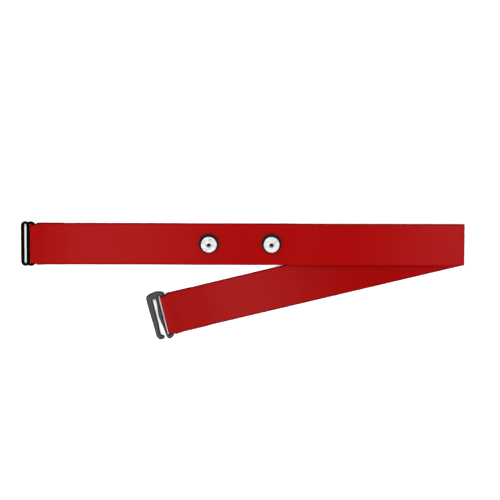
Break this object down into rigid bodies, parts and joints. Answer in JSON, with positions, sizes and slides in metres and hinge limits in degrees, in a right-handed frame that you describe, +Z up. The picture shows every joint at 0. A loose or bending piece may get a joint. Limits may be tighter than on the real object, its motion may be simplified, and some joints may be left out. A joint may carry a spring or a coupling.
{
  "type": "sensor chest strap",
  "caption": "Flat elastic chest strap with snap studs for a heart-rate sensor, skin-side electrode pads, a two-window slider on one end and a G-hook on the other, laid folded once.",
  "frame": {"origin": "midway between the two snap studs, on the plane of the discs' faces where a sensor's underside rests", "axes": "+X along the front run from the slider towards the fold, +Y across the strap, +Z up from the surface the strap lies on, out of the studs"},
  "size_m": [0.3256, 0.0883, 0.0088],
  "materials": {
    "webbing": "finely ribbed elastic webbing, soft sheen",
    "slider_plastic": "satin black",
    "hook_metal": "satin dark grey with dark bevelled edges",
    "washer_plastic": "satin black",
    "snap_nickel": "nickel plated, lightly handled",
    "electrode_rubber": "matte conductive rubber, moulded ribs",
    "bonding_film": "smooth satin film",
    "thread": "twisted polyester thread"
  },
  "bodies": {
    "front_run": {"strap_front_run": "webbing", "strap_fold_bend": "webbing", "left_snap_washer": "washer_plastic", "right_snap_washer": "washer_plastic", "left_snap_stud": "snap_nickel", "right_snap_stud": "snap_nickel", "left_snap_post": "snap_nickel", "right_snap_post": "snap_nickel", "left_electrode_pad": "electrode_rubber", "right_electrode_pad": "electrode_rubber", "left_bonding_film": "bonding_film", "right_bonding_film": "bonding_film", "slider_end_stitching": "thread"},
    "back_run": {"strap_back_run": "webbing", "hook_end_stitching": "thread"},
    "slider": {"slider": "slider_plastic"},
    "g_hook": {"g_hook": "hook_metal"}
  },
  "joints": [
    {"name": "fold_open", "type": "hinge", "parent": "front_run", "child": "back_run", "pos_m": [0.16415, 0, -0.0037], "axis": [0.1184, -0.993, 0], "range_deg": [0, 180], "deforming": ["strap_fold_bend"]},
    {"name": "slider_swing", "type": "hinge", "parent": "front_run", "child": "slider", "pos_m": [-0.1515, 0, -0.0031], "axis": [0, 1, 0], "range_deg": [-75, 100]},
    {"name": "hook_swing", "type": "hinge", "parent": "back_run", "child": "g_hook", "pos_m": [-0.05336, -0.05243, -0.00285], "axis": [-0.2351, 0.972, 0], "range_deg": [-75, 98]}
  ]
}
